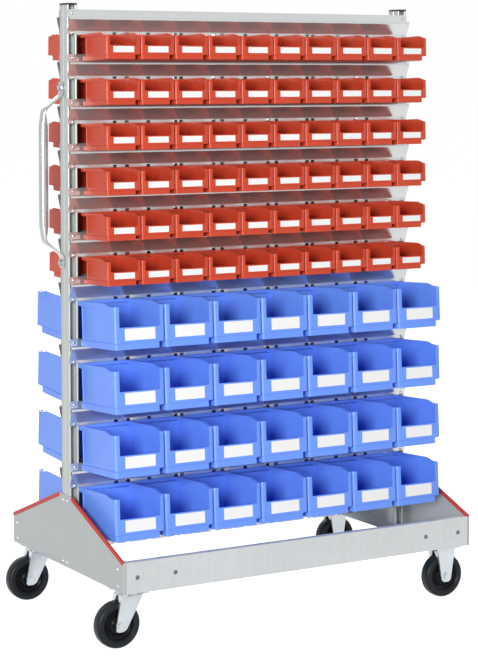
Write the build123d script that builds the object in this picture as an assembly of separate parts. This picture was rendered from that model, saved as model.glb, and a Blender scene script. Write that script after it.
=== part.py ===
from build123d import *
import os
from math import atan2, cos, degrees, hypot, radians, sin

# Sizes in millimetres. X runs along the rack, with the handle at -X, Y from front to back, Z up from the floor.
rack_length = 1109.0
rack_height = 1692.0

# Base: two folded end pieces and two long side panels of galvanised sheet
base_depth = 702.0
base_sheet = 2.0
side_panel_height = 83.5
side_panel_lip = 18.0
side_panel_tab = 50.0
tab_height = 66.0
end_peak_height = 200.0
end_peak_width = 74.0
tray_width = 98.0
tray_wall_height = 58.0
corner_gap = 4.0

# Plastic edge trim on the slopes of the base ends
trim_thickness = 6.0
trim_height = 10.5
trim_cover = 2.0
trim_end_gap = 4.0

# Posts: two rolled channels back to back, open to the front and to the back
post_width = 30.0
post_depth = 50.0
post_wall = 2.0
post_corner = 4.0
post_slot = 16.0
post_groove = 2.5
cap_height = 5.5
cap_overhang = 0.75

# Rails: one folded strip each, screwed to the fronts and backs of both posts
rail_sheet = 1.5
rail_strip = 19.0
rail_ledge = 14.5
rail_nose = 7.5
rail_slope = 30.5
rail_skirt = 9.5
top_ledge_height = 1655.5

# Rows of bins: each row hangs below one rail and sits on the ledge of the next
small_rows = 6
small_row_pitch = 120.0
small_per_row = 10
small_pitch = 103.0
large_rows = 4
large_row_pitch = 170.0
large_per_row = 7
large_pitch = 150.0
bin_tilt = 2.0
bin_gap = 1.0
seat_gap = 0.3
seat_inset = 2.0
back_under_skirt = 1.2

# Small red bins and large blue bins
small_height = 72.0
small_depth = 145.0
small_wall = 1.8
small_sill = 37.0
small_pillar = 12.0
large_height = 122.0
large_depth = 209.0
large_wall = 2.2
large_sill = 59.0
large_pillar = 15.0
large_step_run = 56.0
large_step_drop = 10.0

# Push handle of round tube with flattened ends, fixed to the outside of the left post
handle_tube = 25.0
handle_offset = 55.0
handle_elbow_top = 1404.5
handle_elbow_bottom = 1050.5
handle_end_top = 1480.0
handle_end_bottom = 976.0
handle_bend = 16.0
handle_tab_width = 33.0
handle_tab_thickness = 4.0
handle_tab_length = 34.0
handle_flattening = 0.7

# Casters
caster_height = 155.5
wheel_diameter = 125.0
wheel_sides = 32
tread_width = 36.0
tread_bevel = 5.0
rim_diameter = 88.0
rim_sides = 20
rim_width = 30.0
boss_diameter = 36.0
boss_sides = 12
boss_width = 42.0
axle_diameter = 12.0
axle_head_width = 20.0
axle_head = 5.0
running_gap = 0.05
side_gap = 1.0
caster_plate_length = 105.0
caster_plate_width = 85.0
caster_plate = 3.0
fork_sheet = 3.0
fork_foot_width = 32.0
fork_foot_drop = 17.0
fork_foot_corner = 8.0
fork_top_length = 72.0
race_diameter = 70.0
race_sides = 20
race_height = 10.0
king_pin = 14.0
king_pin_nut_width = 26.0
king_pin_nut = 7.0
face_gap = 0.3
swivel_trail = 36.0
swivel_inset = 48.5
fixed_inset = 49.5
caster_side_inset = 68.0

# Derived places
rack_end = rack_length / 2
panel_end = rack_end - base_sheet
base_underside = caster_height
base_side = base_depth / 2
tray_top = base_underside + base_sheet
side_panel_top = base_underside + side_panel_height
end_peak = base_underside + end_peak_height
post_x = panel_end - post_width / 2
post_outside = panel_end
post_face = post_depth / 2
rail_face = post_face + rail_sheet
rail_nose_face = rail_face + rail_ledge
rail_reach = panel_end
ledges = [top_ledge_height - small_row_pitch * i for i in range(small_rows + 1)]
ledges += [ledges[-1] - large_row_pitch * (i + 1) for i in range(large_rows)]
axle_height = wheel_diameter / 2
plate_underside = base_underside - caster_plate
fork_gap = boss_width + 2 * side_gap
fork_width = fork_gap + 2 * fork_sheet
swivel_top = plate_underside - race_height - face_gap
caster_y = base_side - caster_side_inset
swivel_x = swivel_inset - rack_end
fixed_x = rack_end - fixed_inset


def block(x, y, z):
    """Box between two values along each axis."""
    low = Vector(min(x), min(y), min(z))
    size = Vector(max(x), max(y), max(z)) - low
    corner = (Align.MIN, Align.MIN, Align.MIN)
    return Pos(*low) * Box(*size, align=corner)


def along_x(outline, start, length):
    """Solid of constant section: the outline is in Y and Z and starts at x = start."""
    face = make_face(Polyline(*outline, close=True))
    return Pos(start, 0, 0) * extrude(Plane.YZ * face, length)


def upright(outline, bottom, height):
    """Solid of constant section: the outline is a face in X and Y and starts at z = bottom."""
    return Pos(0, 0, bottom) * extrude(outline, height)


def group(solids):
    """Several separate solids in one node."""
    return Compound(children=list(solids))


def facing_back(shape):
    """The same piece turned round to the rear of the rack."""
    return Rot(0, 0, 180) * shape


def base_end():
    """Left base end: gabled wall, tray floor that takes the casters, and two low tray walls."""
    gable = [
        (-base_side, base_underside),
        (base_side, base_underside),
        (base_side, side_panel_top),
        (end_peak_width / 2, end_peak),
        (-end_peak_width / 2, end_peak),
        (-base_side, side_panel_top),
    ]
    inner_side = base_side - base_sheet
    tray = (-panel_end, tray_width - rack_end)
    piece = along_x(gable, -rack_end, base_sheet)
    piece += block(tray, (-inner_side, inner_side), (base_underside, tray_top))
    for side in (-1, 1):
        wall_x = (tray[0] + corner_gap, tray[1])
        wall_y = (side * (inner_side - base_sheet), side * inner_side)
        piece += block(wall_x, wall_y, (base_underside, base_underside + tray_wall_height))
    return piece


def side_panel():
    """Front base panel with a lip along its top and a tab turned in at each end."""
    outside = -base_side
    inside = outside + base_sheet
    piece = block((-panel_end, panel_end), (outside, inside), (base_underside, side_panel_top))
    lip_end = panel_end - corner_gap
    lip_y = (outside, inside + side_panel_lip)
    piece += block((-lip_end, lip_end), lip_y, (side_panel_top - base_sheet, side_panel_top))
    for end in (-1, 1):
        tab_x = (end * panel_end, end * (panel_end - base_sheet))
        tab_y = (outside, inside + side_panel_tab)
        piece += block(tab_x, tab_y, (tray_top, tray_top + tab_height))
    return piece


def edge_trim():
    """U-shaped trim on the front slope of the left base end."""
    run = base_side - end_peak_width / 2
    rise = end_peak - side_panel_top
    length = hypot(run, rise) - 2 * trim_end_gap
    centre_x = -rack_end + base_sheet / 2
    depth = trim_height - trim_cover
    strip = block(
        (centre_x - trim_thickness / 2, centre_x + trim_thickness / 2),
        (-length / 2, length / 2),
        (-depth, trim_cover),
    )
    strip -= block((-rack_end, -panel_end), (-length, length), (-trim_height, 0))
    middle = Pos(0, -(base_side + end_peak_width / 2) / 2, (side_panel_top + end_peak) / 2)
    return middle * Rot(degrees(atan2(rise, run)), 0, 0) * strip


def post():
    """Left post: the outline with cut corners, two hollows, their mouths and a groove on each side."""
    outline = Rectangle(post_width, post_depth)
    outline = chamfer(outline.vertices(), post_corner)
    hollow_depth = post_depth / 2 - 2 * post_wall
    for turn in (0, 180):
        hollow = Pos(0, -post_depth / 4) * Rectangle(post_width - 2 * post_wall, hollow_depth)
        mouth = Pos(0, -post_depth / 2) * Rectangle(post_slot, 2 * post_wall + hollow_depth)
        groove = Pos(post_width / 2, 0) * Rot(0, 0, 45) * Rectangle(post_groove, post_groove)
        outline -= Rot(0, 0, turn) * chamfer(hollow.vertices(), post_corner - post_wall)
        outline -= Rot(0, 0, turn) * mouth
        outline -= Rot(0, 0, turn) * groove
    height = rack_height - cap_height - tray_top
    return Pos(-post_x, 0, 0) * upright(outline, tray_top, height)


def post_cap():
    """Cap on the left post."""
    grow = 2 * cap_overhang
    outline = Rectangle(post_width + grow, post_depth + grow)
    outline = chamfer(outline.vertices(), post_corner + cap_overhang)
    return Pos(-post_x, 0, 0) * upright(outline, rack_height - cap_height, cap_height)


def rail(ledge):
    """Front rail: strip, ledge, nose, sloped face and skirt, folded from one sheet."""
    slope_top = ledge - rail_nose
    slope_bottom = slope_top - rail_slope
    front = Polyline(
        (-rail_face, ledge + rail_strip),
        (-rail_face, ledge),
        (-rail_nose_face, ledge),
        (-rail_nose_face, slope_top),
        (-rail_face, slope_bottom),
        (-rail_face, slope_bottom - rail_skirt),
    )
    sheet = offset(front, rail_sheet, side=Side.LEFT, kind=Kind.INTERSECTION)
    section = make_face(sheet)
    return Pos(-rail_reach, 0, 0) * extrude(Plane.YZ * section, 2 * rail_reach)


def open_bin(width, depth, height, wall, sill, pillar, step=None):
    """Open-fronted bin with its rear bottom edge on the X axis and its front towards -Y."""
    reach = back_reach(height)
    lean = reach / height
    front = [(-depth, height)]
    if step:
        run, drop = step
        front = [(-depth, height - drop), (-depth + run, height)]
    shell = along_x([(0, 0), (-depth, 0), *front, (reach, height)], -width / 2, width)
    over = 2 * height
    hollow = [
        (-depth + wall, wall),
        (lean * wall - wall, wall),
        (lean * over - wall, over),
        (-depth + wall, over),
    ]
    shell -= along_x(hollow, wall - width / 2, width - 2 * wall)
    mouth = width / 2 - pillar
    shell -= block((-mouth, mouth), (-2 * depth, -depth + wall), (sill, over))
    return shell


def seated(shape, ledge):
    """Bin at the front of the rack, tilted back, with its rear bottom edge on a rail's ledge."""
    seat_y = -(rail_nose_face - seat_inset)
    return Pos(0, seat_y, ledge + seat_gap) * Rot(-bin_tilt, 0, 0) * shape


def back_reach(height):
    """How far a bin's back leans out, from its foot to its top edge under the skirt of the rail above."""
    room = rail_nose_face - seat_inset - rail_face + back_under_skirt
    tilt = radians(bin_tilt)
    return (room - height * sin(tilt)) / cos(tilt)


def handle():
    """Push handle: a bent tube whose arms are pressed flat towards a tab at each end."""
    tab_x = -post_outside - handle_tab_thickness / 2
    grip_x = -post_outside - handle_offset
    radius = handle_tube / 2
    ends = ((handle_elbow_top, handle_end_top), (handle_elbow_bottom, handle_end_bottom))
    corners = []
    arms = []
    for elbow_z, end_z in ends:
        elbow = Vector(grip_x, 0, elbow_z)
        upwards = Vector(0, 0, 1 if end_z > elbow_z else -1)
        tab_foot = Vector(tab_x, 0, end_z) - upwards * handle_tab_length
        arm = (tab_foot - elbow).normalized()
        corners.append([tab_foot, elbow + arm * handle_bend, elbow - upwards * handle_bend])
        arms.append((elbow, arm, (tab_foot - elbow).length, (tab_foot.Z - upwards.Z * radius / 2, end_z)))
    path = Polyline(*corners[0], *reversed(corners[1]))
    start = Plane(origin=path @ 0, z_dir=path % 0)
    piece = sweep(start * Circle(radius), path, transition=Transition.RIGHT)
    for elbow, arm, length, tab_z in arms:
        along = Plane(origin=elbow, x_dir=arm, z_dir=(0, -1, 0))
        round_end = length * (1 - handle_flattening)
        for side in (-1, 1):
            pressed = Polyline(
                (round_end, side * radius),
                (length, side * handle_tab_thickness / 2),
                (length + radius, side * handle_tab_thickness / 2),
                (length + radius, side * 2 * radius),
                (round_end, side * 2 * radius),
                close=True,
            )
            piece -= extrude(along * make_face(pressed), handle_tab_width, both=True)
        tab_x_range = (-post_outside - handle_tab_thickness, -post_outside)
        tab_y = (-handle_tab_width / 2, handle_tab_width / 2)
        piece += block(tab_x_range, tab_y, tab_z)
    return piece


def prism(radius, sides, width):
    """Many-sided disc about a wheel's axis, centred on it."""
    return extrude(Plane.XZ * RegularPolygon(radius, sides), width / 2, both=True)


def along_axle(diameter, length):
    """Round bar along a wheel's axis, centred on it."""
    return Rot(90, 0, 0) * Cylinder(diameter / 2, length)


def tyre():
    """Solid rubber tyre with bevelled shoulders."""
    piece = prism(wheel_diameter / 2, wheel_sides, tread_width)
    sides = piece.faces().filter_by(Axis.Y)
    piece = chamfer(sides.edges(), tread_bevel)
    return piece - prism(rim_diameter / 2, rim_sides, 2 * tread_width)


def hub():
    """Wheel hub: rim, boss and running bore."""
    piece = prism(rim_diameter / 2, rim_sides, rim_width)
    piece += prism(boss_diameter / 2, boss_sides, boss_width)
    return piece - along_axle(axle_diameter + 2 * running_gap, 2 * boss_width)


def cheeks_and_axle(top, top_length, trail):
    """Two fork cheeks that taper to a foot below the axle, and the axle with its head and nut."""
    foot = fork_foot_width / 2
    low = axle_height - fork_foot_drop
    outline = Polyline(
        (-top_length / 2, top),
        (-trail - foot, low + fork_foot_corner),
        (-trail - foot + fork_foot_corner, low),
        (-trail + foot - fork_foot_corner, low),
        (-trail + foot, low + fork_foot_corner),
        (top_length / 2, top),
        close=True,
    )
    cheek = extrude(Plane.XZ * make_face(outline), fork_sheet / 2, both=True)
    middle = (fork_gap + fork_sheet) / 2
    axle = along_axle(axle_diameter, fork_width)
    for side in (-1, 1):
        head = prism(axle_head_width / 2, 6, axle_head)
        axle += Pos(0, side * (fork_width + axle_head) / 2, 0) * head
    piece = Pos(-trail, 0, axle_height) * axle
    for side in (-1, 1):
        piece += Pos(0, side * middle, 0) * cheek
    return piece


def swivel_fork():
    """Swivel fork: a crown plate under the ball race, and cheeks that trail behind the king pin."""
    half = fork_top_length / 2
    crown = block((-half, half), (-fork_width / 2, fork_width / 2), (swivel_top - fork_sheet, swivel_top))
    crown -= Pos(0, 0, swivel_top) * Cylinder(king_pin / 2 + running_gap, 4 * fork_sheet)
    return crown + cheeks_and_axle(swivel_top, fork_top_length, swivel_trail)


def swivel_head():
    """Top plate of a swivel caster with its ball race, king pin and nut."""
    plate = Box(caster_plate_width, caster_plate_length, caster_plate)
    piece = Pos(0, 0, plate_underside + caster_plate / 2) * plate
    race = RegularPolygon(race_diameter / 2, race_sides)
    piece += upright(race, plate_underside - race_height, race_height)
    nut_top = swivel_top - fork_sheet - face_gap
    piece += upright(Circle(king_pin / 2), nut_top, plate_underside - nut_top)
    piece += upright(RegularPolygon(king_pin_nut_width / 2, 6), nut_top - king_pin_nut, king_pin_nut)
    return piece


def fixed_fork():
    """Fixed caster's bracket: top plate, two upright cheeks and the axle."""
    plate = Box(caster_plate_width, caster_plate_length, caster_plate)
    piece = Pos(0, 0, plate_underside + caster_plate / 2) * plate
    return piece + cheeks_and_axle(plate_underside, fork_top_length, 0)


small_bin = open_bin(
    small_pitch - bin_gap, small_depth, small_height, small_wall, small_sill, small_pillar
)
large_bin = open_bin(
    large_pitch - bin_gap,
    large_depth,
    large_height,
    large_wall,
    large_sill,
    large_pillar,
    step=(large_step_run, large_step_drop),
)

left_end = base_end()
front_panel = side_panel()
left_post = post()
left_cap = post_cap()
trim = edge_trim()
caster_sides = (("front", -caster_y), ("rear", caster_y))
nodes = {
    "left_base_end": left_end,
    "right_base_end": mirror(left_end, Plane.YZ),
    "front_base_panel": front_panel,
    "rear_base_panel": mirror(front_panel, Plane.XZ),
    "left_post": left_post,
    "right_post": mirror(left_post, Plane.YZ),
    "post_caps": group([left_cap, mirror(left_cap, Plane.YZ)]),
    "edge_trims": group(
        [
            trim,
            mirror(trim, Plane.XZ),
            mirror(trim, Plane.YZ),
            mirror(mirror(trim, Plane.XZ), Plane.YZ),
        ]
    ),
    "push_handle": Pos(0, post_depth / 4, 0) * handle(),
    "front_rails": group(rail(ledge) for ledge in ledges),
    "rear_rails": group(facing_back(rail(ledge)) for ledge in ledges),
    "swivel_heads": group(Pos(swivel_x, y, 0) * swivel_head() for side, y in caster_sides),
    "fixed_forks": group(Pos(fixed_x, y, 0) * fixed_fork() for side, y in caster_sides),
}

# Casters: the swivel pair is at the handle's end
for side, y in caster_sides:
    nodes[f"{side}_swivel_fork"] = Pos(swivel_x, y, 0) * swivel_fork()
    for end, x in (("left", swivel_x - swivel_trail), ("right", fixed_x)):
        nodes[f"{side}_{end}_tyre"] = Pos(x, y, axle_height) * tyre()
        nodes[f"{side}_{end}_hub"] = Pos(x, y, axle_height) * hub()

# Bins: one loose bin in the middle of each row is a node of its own, the rest of each kind and side share one
rows = [(small_bin, "red", small_per_row, small_pitch, i + 1) for i in range(small_rows)]
rows += [(large_bin, "blue", large_per_row, large_pitch, i + 1) for i in range(large_rows)]
for side, place in (("front", lambda shape: shape), ("rear", facing_back)):
    others = {"red": [], "blue": []}
    for (shape, colour, count, pitch, row), ledge in zip(rows, ledges[1:]):
        for i in range(count):
            x = (i - (count - 1) / 2) * pitch
            bin_solid = place(Pos(x, 0, 0) * seated(shape, ledge))
            if i == count // 2:
                nodes[f"{side}_{colour}_bin_{row}"] = bin_solid
            else:
                others[colour].append(bin_solid)
    for colour, solids in others.items():
        nodes[f"{side}_{colour}_bins"] = group(solids)

os.makedirs("parts", exist_ok=True)
for name, shape in nodes.items():
    export_step(shape, f"parts/{name}.step")
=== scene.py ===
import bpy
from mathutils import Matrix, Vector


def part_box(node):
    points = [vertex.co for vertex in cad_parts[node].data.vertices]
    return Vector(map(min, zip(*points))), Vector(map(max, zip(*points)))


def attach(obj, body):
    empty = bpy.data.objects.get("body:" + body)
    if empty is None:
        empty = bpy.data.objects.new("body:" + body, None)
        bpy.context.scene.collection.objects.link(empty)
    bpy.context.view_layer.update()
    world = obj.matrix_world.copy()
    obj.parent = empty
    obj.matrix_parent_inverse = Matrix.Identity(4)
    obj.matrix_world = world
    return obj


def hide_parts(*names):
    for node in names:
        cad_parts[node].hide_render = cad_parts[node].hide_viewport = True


bl_info = {
    "name": "Mobile bin rack",
    "version": (1, 0, 0),
    "blender": (4, 5, 0),
    "location": "3D View > Sidebar > Bin rack",
    "description": "Dresses a double-sided rack of open bins on casters around its packed frame",
    "category": "Object",
}

from math import atan2, cos, hypot, pi, radians, sin
from types import SimpleNamespace

import bmesh
import bpy
from bpy.props import FloatProperty, FloatVectorProperty, PointerProperty
from mathutils import Matrix, Vector

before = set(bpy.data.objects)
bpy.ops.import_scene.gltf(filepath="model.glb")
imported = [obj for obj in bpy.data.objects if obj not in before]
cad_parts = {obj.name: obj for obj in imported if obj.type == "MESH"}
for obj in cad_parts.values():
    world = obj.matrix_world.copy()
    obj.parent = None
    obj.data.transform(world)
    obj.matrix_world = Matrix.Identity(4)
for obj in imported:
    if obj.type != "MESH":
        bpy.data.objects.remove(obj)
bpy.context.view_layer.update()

MM = 0.001
X, Y, Z = range(3)
SIDES = {"front": Matrix.Identity(4), "rear": Matrix.Rotation(pi, 4, "Z")}
SMALL_ROWS = 6
LARGE_ROWS = 4
SMALL_PER_ROW = 10
LARGE_PER_ROW = 7
TOLERANCE = 0.01
# Shares of a bolt head's width across its flats.
WASHER_FOOT = 0.78
WASHER_TOP = 0.74
HEX_FOOT = 0.577
HEX_TOP = 0.54


def span(node, axis):
    """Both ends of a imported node's box along an axis, in millimetres."""
    return [corner[axis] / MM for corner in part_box(node)]


PANEL_END = span("front_base_panel", X)[1]
PANEL_FACE = span("front_base_panel", Y)[0]
BASE_UNDERSIDE, PANEL_TOP = span("front_base_panel", Z)
BASE_END, TRAY_EDGE = span("left_base_end", X)
BASE_PEAK = span("left_base_end", Z)[1]
POST_OUTSIDE, POST_INSIDE = span("left_post", X)
POST_MIDDLE = (POST_OUTSIDE + POST_INSIDE) / 2
POST_HALF = (POST_INSIDE - POST_OUTSIDE) / 2
POST_FACE = span("left_post", Y)[0]
POST_FOOT, POST_TOP = span("left_post", Z)
CAP_TOP = span("post_caps", Z)[1]
RAIL_END = span("front_rails", X)[1]
RAIL_NOSE = span("front_rails", Y)[0]
RAIL_TOP = span("front_rails", Z)[1]
GRIP_OUTSIDE = span("push_handle", X)[0]
HANDLE_BOTTOM, HANDLE_TOP = span("push_handle", Z)
AXLE_HEIGHT = span("front_left_tyre", Z)[1] / 2

# Each length of a bin: what it is, and its millimetres for a small and a large bin.
BIN_LENGTHS = {
    "pitch": ("From one bin to the next along the row", 103, 150),
    "width": ("Outside width", 102, 149),
    "depth": ("From the rear bottom edge to the front", 145, 209),
    "height": ("Height of the rim at the back", 72, 122),
    "wall": ("Thickness of the rim, the pillars and the floor", 3.2, 4),
    "panel_inset": ("How far the side panels lie behind the rim", 1.6, 2),
    "recess": ("How far the back stands in front of the rear bottom edge", 22, 14),
    "sill": ("Height of the low front", 37, 59),
    "pillar": ("Width of the front on each side of the mouth", 12, 15.5),
    "corner": ("Radius of the front corners", 5, 7),
    "rim": ("Height of the rim band", 10, 13.5),
    "plinth": ("Height of the set-back foot", 11.5, 16),
    "set_back": ("How far the foot is set back", 1.2, 1.6),
    "drop": ("How far the rim comes down towards the front", 7.5, 8),
    "drop_start": ("Where the rim starts to come down, behind the front", 40, 61),
    "drop_end": ("Where the rim is level again, behind the front", 4, 24),
    "notch_width": ("Width of the notch in the foot", 15.5, 15.5),
    "notch_depth": ("Depth of the notch in the foot", 30, 32),
    "card_width": ("Width of the label card", 61, 90),
    "card_height": ("Height of the label card", 16, 31),
    "card_centre": ("Middle of the label card above the bottom", 26, 40),
}
RACK_LENGTHS = {
    "base_sheet": ("Thickness of the base's sheet", 2),
    "base_fold": ("Outside radius of the base's folds", 3),
    "lip": ("Width of the lip along the base panels", 20),
    "tray_wall": ("Height of the tray's walls", 58),
    "trim_height": ("Height of the edge trim", 10.5),
    "trim_thickness": ("Thickness of the edge trim", 6),
    "post_wall": ("Thickness of the post's rolled wall", 2),
    "post_corner": ("Outside radius of the post's corners", 5),
    "post_mouth": ("Width of the slot in the post's faces", 16),
    "rail_sheet": ("Thickness of the rail's sheet", 1.5),
    "rail_fold": ("Outside radius of the rail's folds", 1.4),
    "rail_strip": ("Height of the strip above the ledge", 19),
    "rail_nose": ("Height of the ledge's nose", 7.5),
    "rail_slope": ("Height of the sloped face", 30.5),
    "rail_skirt": ("Height of the skirt", 9.5),
    "small_rows": ("From one row of small bins to the next", 120),
    "large_rows": ("From one row of large bins to the next", 170),
    "handle_tube": ("Diameter of the handle's tube", 25),
    "wheel": ("Diameter of the wheels", 125),
    "rim": ("Diameter of the wheels' rims", 88),
    "screw": ("Diameter of the rail screws' heads", 9),
    "bolt": ("Width of the base bolts' heads", 13),
}
RACK_COLOURS = {
    "red_bin": ("Plastic of the small bins", 0.58, 0.058, 0.022),
    "blue_bin": ("Plastic of the large bins", 0.15, 0.32, 1.0),
    "card": ("Paper of the label cards", 0.92, 0.92, 0.92),
    "sheet": ("Zinc on the base panels", 0.59, 0.61, 0.615),
    # The base ends' zinc is the panels' zinc made darker: painted shade for the lesser light that falls on
    # the ends.
    "end_sheet": ("Duller zinc on the base ends", 0.41, 0.435, 0.435),
    "rail": ("Zinc on the rails", 0.62, 0.64, 0.64),
    "screw": ("Zinc on screws and bolts", 0.5, 0.52, 0.54),
    # The panel bolts' zinc is made dark as painted shade: it paints the dark reflections and shaded sockets
    # on these heads.
    "panel_bolt": ("Darker zinc on the panel bolts", 0.16, 0.175, 0.195),
    "profile": ("Zinc on the posts", 0.5, 0.53, 0.52),
    "plate": ("Bright zinc on the casters", 0.58, 0.62, 0.65),
    "tube": ("Zinc on the push handle", 0.46, 0.48, 0.475),
    "trim": ("Plastic of the edge trim", 0.56, 0.04, 0.03),
    "cap": ("Black plastic of the post caps", 0.03, 0.03, 0.032),
    "hub": ("Plastic of the wheel hubs", 0.006, 0.006, 0.008),
    "tyre": ("Rubber of the tyres", 0.008, 0.011, 0.014),
    "floor": ("Floor and background", 0.5, 0.5, 0.5),
}


def label(key):
    """A property's name in the sidebar."""
    return key.replace("_", " ").capitalize()


def lengths(table, kind=0):
    """Lengths that a user may change, from a table of descriptions and millimetres."""
    return {
        key: FloatProperty(
            name=label(key), description=text, default=sizes[kind] * MM, min=0, unit="LENGTH"
        )
        for key, (text, *sizes) in table.items()
    }


def colours(table):
    """Colours that a user may change, from a table of descriptions and tones."""
    return {
        key: FloatVectorProperty(
            name=label(key), description=text, default=tone, min=0, max=1, subtype="COLOR"
        )
        for key, (text, *tone) in table.items()
    }


class SmallBin(bpy.types.PropertyGroup):
    """Sizes of the small bin"""

    __annotations__ = lengths(BIN_LENGTHS, 0)


class LargeBin(bpy.types.PropertyGroup):
    """Sizes of the large bin"""

    __annotations__ = lengths(BIN_LENGTHS, 1)


class RackSizes(bpy.types.PropertyGroup):
    """Sizes of the rack's sheet, tube and wheels"""

    __annotations__ = lengths(RACK_LENGTHS)


class RackColours(bpy.types.PropertyGroup):
    """Colours of the rack's materials"""

    __annotations__ = colours(RACK_COLOURS)


def in_millimetres(group):
    """The lengths of a property group in millimetres."""
    return SimpleNamespace(**{key: getattr(group, key) / MM for key in type(group).__annotations__})


def arithmetic(operation):
    """A Math operation as a Python operator, and its reflected form."""

    def forwards(shade, other):
        return shade.math(operation, shade, other)

    def reflected(shade, other):
        return shade.math(operation, other, shade)

    return forwards, reflected


class Shade:
    """A socket in a material's nodes; arithmetic on it adds Math nodes."""

    def __init__(self, tree, socket=None):
        self.tree = tree
        self.socket = socket

    def node(self, kind, settings, inputs, output=0):
        """Adds a node, with its settings first and then its sockets' values or links."""
        node = self.tree.nodes.new(f"ShaderNode{kind}")
        for key, value in settings.items():
            setattr(node, key, value)
        for key, value in inputs.items():
            if isinstance(value, Shade):
                self.tree.links.new(value.socket, node.inputs[key])
            else:
                node.inputs[key].default_value = value
        return Shade(self.tree, node.outputs[output] if node.outputs else None)

    def math(self, operation, *terms):
        """Adds a Math node."""
        return self.node("Math", {"operation": operation}, dict(enumerate(terms)))

    __add__, __radd__ = arithmetic("ADD")
    __sub__, __rsub__ = arithmetic("SUBTRACT")
    __mul__, __rmul__ = arithmetic("MULTIPLY")

    def clamped(self, low, high):
        """The value between two limits, stretched to 0 and 1."""
        return self.node("MapRange", {}, {"Value": self, "From Min": low, "From Max": high})

    def between(self, first, second):
        """A colour from the first to the second as the value goes from 0 to 1."""
        colours = {0: self, 6: (*first, 1), 7: (*second, 1)}
        return self.node("Mix", {"data_type": "RGBA"}, colours, 2)

    def stretched(self, scale):
        """The coordinates stretched along each axis."""
        return self.node("Mapping", {}, {"Vector": self, "Scale": scale})

    def noise(self, scale, detail=2.0):
        """Soft noise on these coordinates."""
        return self.node("TexNoise", {}, {"Vector": self, "Scale": scale, "Detail": detail})

    def grains(self, scale):
        """A random value for each grain of a crystalline surface."""
        cells = self.node("TexVoronoi", {}, {"Vector": self, "Scale": scale}, "Color")
        return self.node("SeparateColor", {}, {"Color": cells})

    def bump(self, strength, distance):
        """A normal from this height."""
        inputs = {"Height": self, "Strength": strength, "Distance": distance}
        return self.node("Bump", {}, inputs)

    def surface(self, colour, roughness, normal, others):
        """Ends the material in a principled surface."""
        inputs = {"Base Color": colour, "Roughness": roughness, "Normal": normal, **others}
        shader = self.node("BsdfPrincipled", {}, inputs)
        self.node("OutputMaterial", {}, {"Surface": shader})


def blank_material(name):
    """Makes a material without nodes, and returns the coordinates of the piece that it is on."""
    material = bpy.data.materials.get(name) or bpy.data.materials.new(name)
    material.use_nodes = True
    material.node_tree.nodes.clear()
    return Shade(material.node_tree).node("TexCoord", {}, {}, "Object")


def shaded(tone, factor):
    """A colour made lighter or darker."""
    return tuple(min(1.0, part * factor) for part in tone)


def moulded_plastic(name, tone, roughness, gloss):
    """Injection-moulded plastic: faint clouding, a fine eroded grain and scuffs that dull it."""
    place = blank_material(name)
    cloud = place.noise(9, 3)
    grain = place.noise(1400, 1)
    scuff = place.stretched((30, 30, 160)).noise(4, 4).clamped(0.52, 0.75)
    mix = cloud.clamped(0.3, 0.7) * 0.8 + grain * 0.2
    place.surface(
        mix.between(shaded(tone, 0.94), shaded(tone, 1.06)),
        roughness + scuff * 0.1 + grain * 0.05,
        grain.bump(0.1, 0.0003),
        {"Specular IOR Level": gloss},
    )


def galvanised(name, tone, roughness, streaks, contrast, metal, spangle=0.0):
    """Zinc-coated steel: rolling streaks, a soft haze, spangle grains if any, and a blurred gloss."""
    place = blank_material(name)
    streak = place.stretched(streaks).noise(1, 3)
    haze = place.noise(5, 2)
    mix = streak * (0.7 - spangle) + haze * 0.3
    rough = roughness + streak * 0.07
    if spangle:
        grain = place.grains(90)
        mix = mix + grain * spangle
        rough = rough + grain * 0.05
    place.surface(
        mix.between(shaded(tone, 1 - contrast), shaded(tone, 1 + contrast)),
        rough,
        streak.bump(0.006, 0.0003),
        {"Metallic": metal + haze * 0.08},
    )


def rubber(name, tone):
    """Black rubber with a dusty bloom and a fine grain."""
    place = blank_material(name)
    dust = place.noise(22, 4).clamped(0.45, 0.75)
    grain = place.noise(900, 2)
    place.surface(
        dust.between(tone, shaded(tone, 1.6)),
        0.34 + dust * 0.12 + grain * 0.06,
        grain.bump(0.12, 0.0004),
        {"Specular IOR Level": 0.2},
    )


def paper(name, tone):
    """Matt card with fine fibres."""
    place = blank_material(name)
    fibre = place.stretched((900, 900, 300)).noise(1, 3)
    shade = fibre.between(shaded(tone, 0.97), shaded(tone, 1.02))
    place.surface(shade, 0.62 + fibre * 0.12, fibre.bump(0.06, 0.0002), {})


def finish(name):
    """A material by its name in the rack's set."""
    if name not in bpy.data.materials:
        raise RuntimeError(f"the material {name} is made first")
    return bpy.data.materials[name]


def only(kind, geometry):
    """The items of one kind in an operator's result."""
    return [item for item in geometry if isinstance(item, kind)]


def eased(t):
    """A way from 0 to 1 that starts and ends softly."""
    return t * t * (3 - 2 * t)


def across(axis, a, b, along):
    """A point from two coordinates across an axis and one along it."""
    return {"X": (along, a, b), "Y": (a, along, b), "Z": (a, b, along)}[axis]


def rectangle(left, low, right, high):
    """The corners of a rectangle, in order."""
    return [(left, low), (right, low), (right, high), (left, high)]


def flipped(points, a, b):
    """Points in reverse order, with their coordinates times a and b."""
    return [(x * a, y * b) for x, y in reversed(points)]


def as_mesh(bm, name):
    """A mesh to be stamped, from a bmesh that ends here."""
    mesh = bpy.data.meshes.new(name)
    bm.to_mesh(mesh)
    bm.free()
    return mesh


def stamped(bm, mesh, place):
    """Adds a copy of a mesh at a place and returns its vertices."""
    before = set(bm.verts)
    bm.from_mesh(mesh)
    verts = [vert for vert in bm.verts if vert not in before]
    bmesh.ops.transform(bm, matrix=place, verts=verts)
    return verts


def joined(bm, part, place=Matrix.Identity(4)):
    """Moves one bmesh's geometry into another, at a place, and returns its vertices there."""
    mesh = as_mesh(part, "part")
    verts = stamped(bm, mesh, place)
    bpy.data.meshes.remove(mesh)
    return verts


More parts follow.
